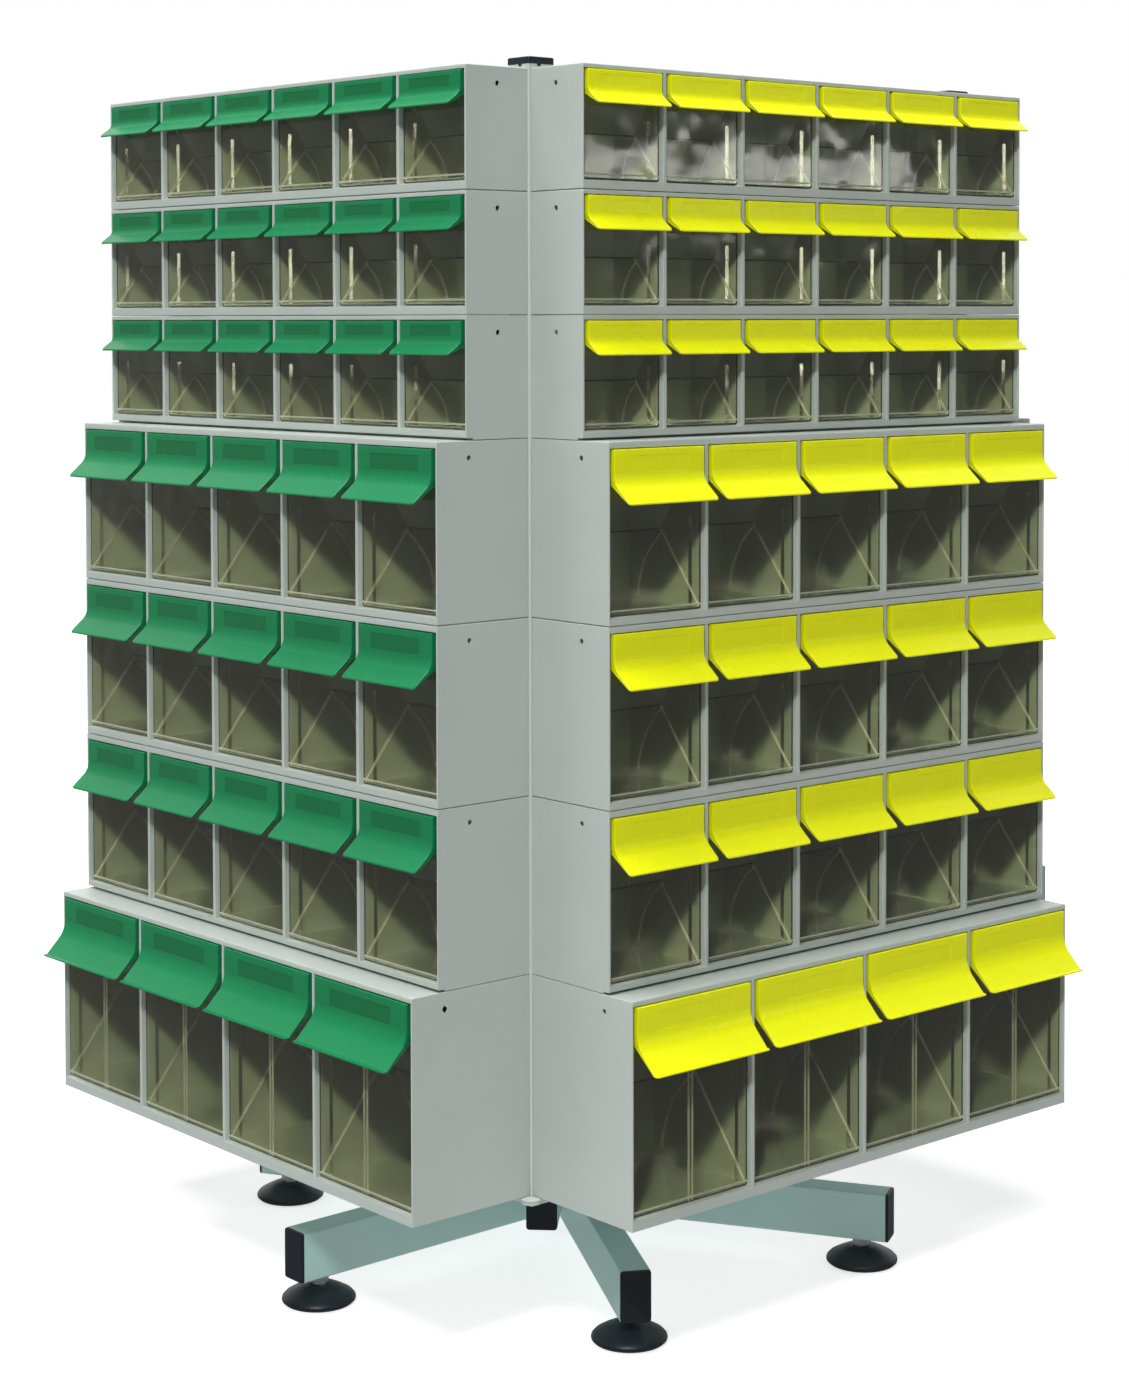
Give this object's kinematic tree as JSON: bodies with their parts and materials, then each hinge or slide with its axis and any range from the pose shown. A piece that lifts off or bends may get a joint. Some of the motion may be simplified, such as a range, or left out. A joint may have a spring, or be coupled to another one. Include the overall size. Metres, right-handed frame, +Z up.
{
  "type": "rotating parts carousel",
  "caption": "Four-sided column of tip-out storage bins on a turning frame, carried by a star base with levelling feet.",
  "frame": {"origin": "on the floor on the turning axis, at the centre of the base", "axes": "+Z up along the turning axis, -Y out of the front side with green flaps, +X out of the right side with yellow flaps"},
  "size_m": [0.932, 0.932, 1.2195],
  "materials": {
    "grey_plastic": "moulded light grey housing",
    "green_plastic": "moulded green flap",
    "yellow_plastic": "moulded yellow flap",
    "clear_plastic": "clear moulded cup",
    "powder_coated_steel": "satin powder coat",
    "plain_steel": "turned",
    "zinc_steel": "zinc plated",
    "bearing_plastic": "natural",
    "black_plastic": "moulded black"
  },
  "bodies": {
    "base": {"base_star": "powder_coated_steel", "leg_end_caps": "black_plastic", "pivot_spindle": "plain_steel"},
    "carousel": {"carrier_cross": "powder_coated_steel", "platform": "powder_coated_steel", "corner_posts": "powder_coated_steel", "top_frame": "powder_coated_steel", "carrier_end_caps": "black_plastic", "post_caps": "black_plastic", "pivot_bushes": "bearing_plastic", "small_housings": "grey_plastic", "medium_housings": "grey_plastic", "large_housings": "grey_plastic"},
    "front_small_row_1": {"front_small_bins_row_1": "green_plastic"},
    "front_small_row_2": {"front_small_bins_row_2": "green_plastic"},
    "front_small_row_3": {"front_small_bins_row_3": "green_plastic"},
    "front_medium_row_1": {"front_medium_bins_row_1": "green_plastic"},
    "front_medium_row_2": {"front_medium_bins_row_2": "green_plastic"},
    "front_medium_row_3": {"front_medium_bins_row_3": "green_plastic"},
    "front_bin_1": {"front_large_bin_1": "green_plastic"},
    "front_bin_2": {"front_large_bin_2": "green_plastic"},
    "front_bin_3": {"front_large_bin_3": "green_plastic"},
    "front_bin_4": {"front_large_bin_4": "green_plastic"},
    "right_small_row_1": {"right_small_bins_row_1": "yellow_plastic"},
    "right_small_row_2": {"right_small_bins_row_2": "yellow_plastic"},
    "right_small_row_3": {"right_small_bins_row_3": "yellow_plastic"},
    "right_medium_row_1": {"right_medium_bins_row_1": "yellow_plastic"},
    "right_medium_row_2": {"right_medium_bins_row_2": "yellow_plastic"},
    "right_medium_row_3": {"right_medium_bins_row_3": "yellow_plastic"},
    "right_bin_1": {"right_large_bin_1": "yellow_plastic"},
    "right_bin_2": {"right_large_bin_2": "yellow_plastic"},
    "right_bin_3": {"right_large_bin_3": "yellow_plastic"},
    "right_bin_4": {"right_large_bin_4": "yellow_plastic"},
    "back_small_row_1": {"back_small_bins_row_1": "green_plastic"},
    "back_small_row_2": {"back_small_bins_row_2": "green_plastic"},
    "back_small_row_3": {"back_small_bins_row_3": "green_plastic"},
    "back_medium_row_1": {"back_medium_bins_row_1": "green_plastic"},
    "back_medium_row_2": {"back_medium_bins_row_2": "green_plastic"},
    "back_medium_row_3": {"back_medium_bins_row_3": "green_plastic"},
    "back_bin_1": {"back_large_bin_1": "green_plastic"},
    "back_bin_2": {"back_large_bin_2": "green_plastic"},
    "back_bin_3": {"back_large_bin_3": "green_plastic"},
    "back_bin_4": {"back_large_bin_4": "green_plastic"},
    "left_small_row_1": {"left_small_bins_row_1": "yellow_plastic"},
    "left_small_row_2": {"left_small_bins_row_2": "yellow_plastic"},
    "left_small_row_3": {"left_small_bins_row_3": "yellow_plastic"},
    "left_medium_row_1": {"left_medium_bins_row_1": "yellow_plastic"},
    "left_medium_row_2": {"left_medium_bins_row_2": "yellow_plastic"},
    "left_medium_row_3": {"left_medium_bins_row_3": "yellow_plastic"},
    "left_bin_1": {"left_large_bin_1": "yellow_plastic"},
    "left_bin_2": {"left_large_bin_2": "yellow_plastic"},
    "left_bin_3": {"left_large_bin_3": "yellow_plastic"},
    "left_bin_4": {"left_large_bin_4": "yellow_plastic"},
    "foot_1": {"levelling_foot_1": "black_plastic"},
    "foot_2": {"levelling_foot_2": "black_plastic"},
    "foot_3": {"levelling_foot_3": "black_plastic"},
    "foot_4": {"levelling_foot_4": "black_plastic"},
    "foot_5": {"levelling_foot_5": "black_plastic"},
    "foot_6": {"levelling_foot_6": "black_plastic"}
  },
  "joints": [
    {"name": "carousel_turn", "type": "hinge", "parent": "base", "child": "carousel", "pos_m": [0, 0, 0.099], "axis": [0, 0, 1], "continuous": true},
    {"name": "front_small_row_1_tip", "type": "hinge", "parent": "carousel", "child": "front_small_row_1", "pos_m": [0, -0.3705, 1.1053], "axis": [1, 0, 0], "range_deg": [0, 45]},
    {"name": "front_small_row_2_tip", "type": "hinge", "parent": "carousel", "child": "front_small_row_2", "pos_m": [0, -0.3705, 0.9933], "axis": [1, 0, 0], "range_deg": [0, 45]},
    {"name": "front_small_row_3_tip", "type": "hinge", "parent": "carousel", "child": "front_small_row_3", "pos_m": [0, -0.3705, 0.8813], "axis": [1, 0, 0], "range_deg": [0, 45]},
    {"name": "front_medium_row_1_tip", "type": "hinge", "parent": "carousel", "child": "front_medium_row_1", "pos_m": [0, -0.4045, 0.7163], "axis": [1, 0, 0], "range_deg": [0, 45]},
    {"name": "front_medium_row_2_tip", "type": "hinge", "parent": "carousel", "child": "front_medium_row_2", "pos_m": [0, -0.4045, 0.5523], "axis": [1, 0, 0], "range_deg": [0, 45]},
    {"name": "front_medium_row_3_tip", "type": "hinge", "parent": "carousel", "child": "front_medium_row_3", "pos_m": [0, -0.4045, 0.3883], "axis": [1, 0, 0], "range_deg": [0, 45]},
    {"name": "front_bin_1_tip", "type": "hinge", "parent": "carousel", "child": "front_bin_1", "pos_m": [-0.225, -0.4345, 0.1853], "axis": [1, 0, 0], "range_deg": [0, 45]},
    {"name": "front_bin_2_tip", "type": "hinge", "parent": "carousel", "child": "front_bin_2", "pos_m": [-0.075, -0.4345, 0.1853], "axis": [1, 0, 0], "range_deg": [0, 45]},
    {"name": "front_bin_3_tip", "type": "hinge", "parent": "carousel", "child": "front_bin_3", "pos_m": [0.075, -0.4345, 0.1853], "axis": [1, 0, 0], "range_deg": [0, 45]},
    {"name": "front_bin_4_tip", "type": "hinge", "parent": "carousel", "child": "front_bin_4", "pos_m": [0.225, -0.4345, 0.1853], "axis": [1, 0, 0], "range_deg": [0, 45]},
    {"name": "right_small_row_1_tip", "type": "hinge", "parent": "carousel", "child": "right_small_row_1", "pos_m": [0.3705, 0, 1.1053], "axis": [0, 1, 0], "range_deg": [0, 45]},
    {"name": "right_small_row_2_tip", "type": "hinge", "parent": "carousel", "child": "right_small_row_2", "pos_m": [0.3705, 0, 0.9933], "axis": [0, 1, 0], "range_deg": [0, 45]},
    {"name": "right_small_row_3_tip", "type": "hinge", "parent": "carousel", "child": "right_small_row_3", "pos_m": [0.3705, 0, 0.8813], "axis": [0, 1, 0], "range_deg": [0, 45]},
    {"name": "right_medium_row_1_tip", "type": "hinge", "parent": "carousel", "child": "right_medium_row_1", "pos_m": [0.4045, 0, 0.7163], "axis": [0, 1, 0], "range_deg": [0, 45]},
    {"name": "right_medium_row_2_tip", "type": "hinge", "parent": "carousel", "child": "right_medium_row_2", "pos_m": [0.4045, 0, 0.5523], "axis": [0, 1, 0], "range_deg": [0, 45]},
    {"name": "right_medium_row_3_tip", "type": "hinge", "parent": "carousel", "child": "right_medium_row_3", "pos_m": [0.4045, 0, 0.3883], "axis": [0, 1, 0], "range_deg": [0, 45]},
    {"name": "right_bin_1_tip", "type": "hinge", "parent": "carousel", "child": "right_bin_1", "pos_m": [0.4345, -0.225, 0.1853], "axis": [0, 1, 0], "range_deg": [0, 45]},
    {"name": "right_bin_2_tip", "type": "hinge", "parent": "carousel", "child": "right_bin_2", "pos_m": [0.4345, -0.075, 0.1853], "axis": [0, 1, 0], "range_deg": [0, 45]},
    {"name": "right_bin_3_tip", "type": "hinge", "parent": "carousel", "child": "right_bin_3", "pos_m": [0.4345, 0.075, 0.1853], "axis": [0, 1, 0], "range_deg": [0, 45]},
    {"name": "right_bin_4_tip", "type": "hinge", "parent": "carousel", "child": "right_bin_4", "pos_m": [0.4345, 0.225, 0.1853], "axis": [0, 1, 0], "range_deg": [0, 45]},
    {"name": "back_small_row_1_tip", "type": "hinge", "parent": "carousel", "child": "back_small_row_1", "pos_m": [0, 0.3705, 1.1053], "axis": [-1, 0, 0], "range_deg": [0, 45]},
    {"name": "back_small_row_2_tip", "type": "hinge", "parent": "carousel", "child": "back_small_row_2", "pos_m": [0, 0.3705, 0.9933], "axis": [-1, 0, 0], "range_deg": [0, 45]},
    {"name": "back_small_row_3_tip", "type": "hinge", "parent": "carousel", "child": "back_small_row_3", "pos_m": [0, 0.3705, 0.8813], "axis": [-1, 0, 0], "range_deg": [0, 45]},
    {"name": "back_medium_row_1_tip", "type": "hinge", "parent": "carousel", "child": "back_medium_row_1", "pos_m": [0, 0.4045, 0.7163], "axis": [-1, 0, 0], "range_deg": [0, 45]},
    {"name": "back_medium_row_2_tip", "type": "hinge", "parent": "carousel", "child": "back_medium_row_2", "pos_m": [0, 0.4045, 0.5523], "axis": [-1, 0, 0], "range_deg": [0, 45]},
    {"name": "back_medium_row_3_tip", "type": "hinge", "parent": "carousel", "child": "back_medium_row_3", "pos_m": [0, 0.4045, 0.3883], "axis": [-1, 0, 0], "range_deg": [0, 45]},
    {"name": "back_bin_1_tip", "type": "hinge", "parent": "carousel", "child": "back_bin_1", "pos_m": [0.225, 0.4345, 0.1853], "axis": [-1, 0, 0], "range_deg": [0, 45]},
    {"name": "back_bin_2_tip", "type": "hinge", "parent": "carousel", "child": "back_bin_2", "pos_m": [0.075, 0.4345, 0.1853], "axis": [-1, 0, 0], "range_deg": [0, 45]},
    {"name": "back_bin_3_tip", "type": "hinge", "parent": "carousel", "child": "back_bin_3", "pos_m": [-0.075, 0.4345, 0.1853], "axis": [-1, 0, 0], "range_deg": [0, 45]},
    {"name": "back_bin_4_tip", "type": "hinge", "parent": "carousel", "child": "back_bin_4", "pos_m": [-0.225, 0.4345, 0.1853], "axis": [-1, 0, 0], "range_deg": [0, 45]},
    {"name": "left_small_row_1_tip", "type": "hinge", "parent": "carousel", "child": "left_small_row_1", "pos_m": [-0.3705, 0, 1.1053], "axis": [0, -1, 0], "range_deg": [0, 45]},
    {"name": "left_small_row_2_tip", "type": "hinge", "parent": "carousel", "child": "left_small_row_2", "pos_m": [-0.3705, 0, 0.9933], "axis": [0, -1, 0], "range_deg": [0, 45]},
    {"name": "left_small_row_3_tip", "type": "hinge", "parent": "carousel", "child": "left_small_row_3", "pos_m": [-0.3705, 0, 0.8813], "axis": [0, -1, 0], "range_deg": [0, 45]},
    {"name": "left_medium_row_1_tip", "type": "hinge", "parent": "carousel", "child": "left_medium_row_1", "pos_m": [-0.4045, 0, 0.7163], "axis": [0, -1, 0], "range_deg": [0, 45]},
    {"name": "left_medium_row_2_tip", "type": "hinge", "parent": "carousel", "child": "left_medium_row_2", "pos_m": [-0.4045, 0, 0.5523], "axis": [0, -1, 0], "range_deg": [0, 45]},
    {"name": "left_medium_row_3_tip", "type": "hinge", "parent": "carousel", "child": "left_medium_row_3", "pos_m": [-0.4045, 0, 0.3883], "axis": [0, -1, 0], "range_deg": [0, 45]},
    {"name": "left_bin_1_tip", "type": "hinge", "parent": "carousel", "child": "left_bin_1", "pos_m": [-0.4345, 0.225, 0.1853], "axis": [0, -1, 0], "range_deg": [0, 45]},
    {"name": "left_bin_2_tip", "type": "hinge", "parent": "carousel", "child": "left_bin_2", "pos_m": [-0.4345, 0.075, 0.1853], "axis": [0, -1, 0], "range_deg": [0, 45]},
    {"name": "left_bin_3_tip", "type": "hinge", "parent": "carousel", "child": "left_bin_3", "pos_m": [-0.4345, -0.075, 0.1853], "axis": [0, -1, 0], "range_deg": [0, 45]},
    {"name": "left_bin_4_tip", "type": "hinge", "parent": "carousel", "child": "left_bin_4", "pos_m": [-0.4345, -0.225, 0.1853], "axis": [0, -1, 0], "range_deg": [0, 45]},
    {"name": "foot_1_turn", "type": "hinge", "parent": "base", "child": "foot_1", "pos_m": [0.28232, 0.163, 0.028], "axis": [0, 0, 1], "range_deg": [-180, 180]},
    {"name": "foot_2_turn", "type": "hinge", "parent": "base", "child": "foot_2", "pos_m": [0, 0.326, 0.028], "axis": [0, 0, 1], "range_deg": [-180, 180]},
    {"name": "foot_3_turn", "type": "hinge", "parent": "base", "child": "foot_3", "pos_m": [-0.28232, 0.163, 0.028], "axis": [0, 0, 1], "range_deg": [-180, 180]},
    {"name": "foot_4_turn", "type": "hinge", "parent": "base", "child": "foot_4", "pos_m": [-0.28232, -0.163, 0.028], "axis": [0, 0, 1], "range_deg": [-180, 180]},
    {"name": "foot_5_turn", "type": "hinge", "parent": "base", "child": "foot_5", "pos_m": [0, -0.326, 0.028], "axis": [0, 0, 1], "range_deg": [-180, 180]},
    {"name": "foot_6_turn", "type": "hinge", "parent": "base", "child": "foot_6", "pos_m": [0.28232, -0.163, 0.028], "axis": [0, 0, 1], "range_deg": [-180, 180]}
  ]
}
